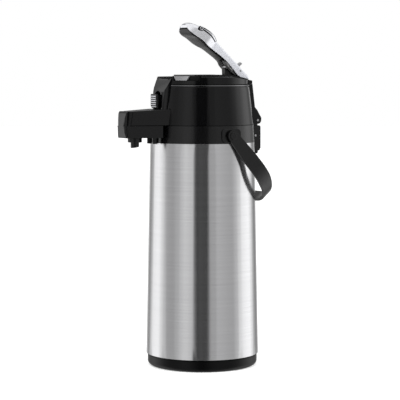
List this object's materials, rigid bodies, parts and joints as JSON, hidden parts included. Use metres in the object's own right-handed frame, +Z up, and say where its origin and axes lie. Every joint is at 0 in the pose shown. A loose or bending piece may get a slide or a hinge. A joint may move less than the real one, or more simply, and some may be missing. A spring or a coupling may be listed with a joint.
{
  "type": "thermal coffee airpot",
  "caption": "Insulated steel coffee airpot with a hinged pump head, press lever, pouring arm with nozzle, front latch and a rear-hanging bail handle.",
  "frame": {"origin": "centre of the flat underside of the base, on the body axis", "axes": "+Z up along the body axis, -Y towards the spout, +Y towards the lid hinge, +X to the side"},
  "size_m": [0.1632, 0.224, 0.4922],
  "materials": {
    "sleeve_steel": "brushed around the body",
    "liner_steel": "plain drawn steel",
    "base_black": "satin",
    "rubber": "matte",
    "satin_black": "satin",
    "gloss_black": "gloss",
    "matte_black": "fine grain",
    "clear_plastic": "natural moulded plastic",
    "chrome": "polished to satin",
    "hardware_steel": "plain"
  },
  "bodies": {
    "vessel": {"body_shell": "sleeve_steel", "base_ring": "base_black", "foot_ring": "rubber", "base_plate": "base_black", "liner_cushion": "rubber", "liner_outer": "liner_steel", "liner_inner": "liner_steel", "collar": "satin_black", "mouth_gasket": "rubber", "hinge_bracket": "satin_black", "bracket_rivet": "hardware_steel", "pivot_boss_near": "satin_black", "pivot_boss_far": "satin_black", "handle_pin_near": "satin_black", "handle_pin_far": "satin_black", "keeper": "hardware_steel", "siphon_flange": "matte_black", "siphon_tube": "liner_steel"},
    "lever": {"lever_cover": "chrome", "lever_grip": "matte_black", "lever_core": "hardware_steel", "lever_pin": "hardware_steel", "roller": "chrome", "roller_pin": "hardware_steel", "lever_tab": "hardware_steel"},
    "pump_arm": {"pump_arm": "matte_black"},
    "pusher": {"pusher": "matte_black"},
    "front_latch": {"front_latch": "chrome"},
    "handle": {"handle": "matte_black"},
    "lock_slider": {"lock_slider": "hardware_steel"},
    "head": {"lid_shell": "gloss_black", "side_panel_near": "gloss_black", "side_panel_far": "gloss_black", "lid_top": "gloss_black", "trim_near": "chrome", "trim_far": "chrome", "tower": "gloss_black", "arm_upper": "gloss_black", "arm_lower": "gloss_black", "nose_cap": "gloss_black", "nozzle": "matte_black", "spout_tube": "clear_plastic", "outlet_seal": "rubber", "lid_plate": "matte_black", "air_duct": "clear_plastic", "bellows_tray": "matte_black", "air_valve": "rubber", "arm_screw_near": "satin_black", "arm_screw_far": "satin_black", "hinge_pin": "hardware_steel", "pump_arm_pin": "hardware_steel", "latch_pin": "hardware_steel", "bellows": "rubber", "return_spring": "hardware_steel"}
  },
  "joints": [
    {"name": "lid_hinge", "type": "hinge", "parent": "vessel", "child": "head", "pos_m": [0, 0.082, 0.352], "axis": [-1, 0, 0], "range_deg": [0, 95]},
    {"name": "lever_pivot", "type": "hinge", "parent": "head", "child": "lever", "pos_m": [0, 0.0555, 0.4235], "axis": [1, 0, 0], "range_deg": [0, 36], "stiffness_Nm_per_rad": 0.6, "springref_deg": -34.38},
    {"name": "pump_arm_pivot", "type": "hinge", "parent": "head", "child": "pump_arm", "pos_m": [0, 0.06, 0.399], "axis": [1, 0, 0], "range_deg": [0, 18.2]},
    {"name": "pusher_slide", "type": "slide", "parent": "head", "child": "pusher", "axis": [0, 0, -1], "range_m": [0, 0.0191], "deforming": ["bellows", "return_spring"]},
    {"name": "latch_pivot", "type": "hinge", "parent": "head", "child": "front_latch", "pos_m": [0, -0.066, 0.386], "axis": [-1, 0, 0], "range_deg": [0, 5.5], "stiffness_Nm_per_rad": 0.2, "springref_deg": -8.59},
    {"name": "handle_swing", "type": "hinge", "parent": "vessel", "child": "handle", "pos_m": [0, 0.004, 0.333], "axis": [1, 0, 0], "range_deg": [0, 110]},
    {"name": "lock_slide", "type": "hinge", "parent": "head", "child": "lock_slider", "pos_m": [0, 0, 0.4133], "axis": [0, 0, 1], "range_deg": [0, 12]}
  ],
  "couplings": [
    {"joint": "pump_arm_pivot", "follows": "lever_pivot", "ratio": 0.5},
    {"joint": "pusher_slide", "follows": "lever_pivot", "m_per_rad": 0.0302}
  ]
}
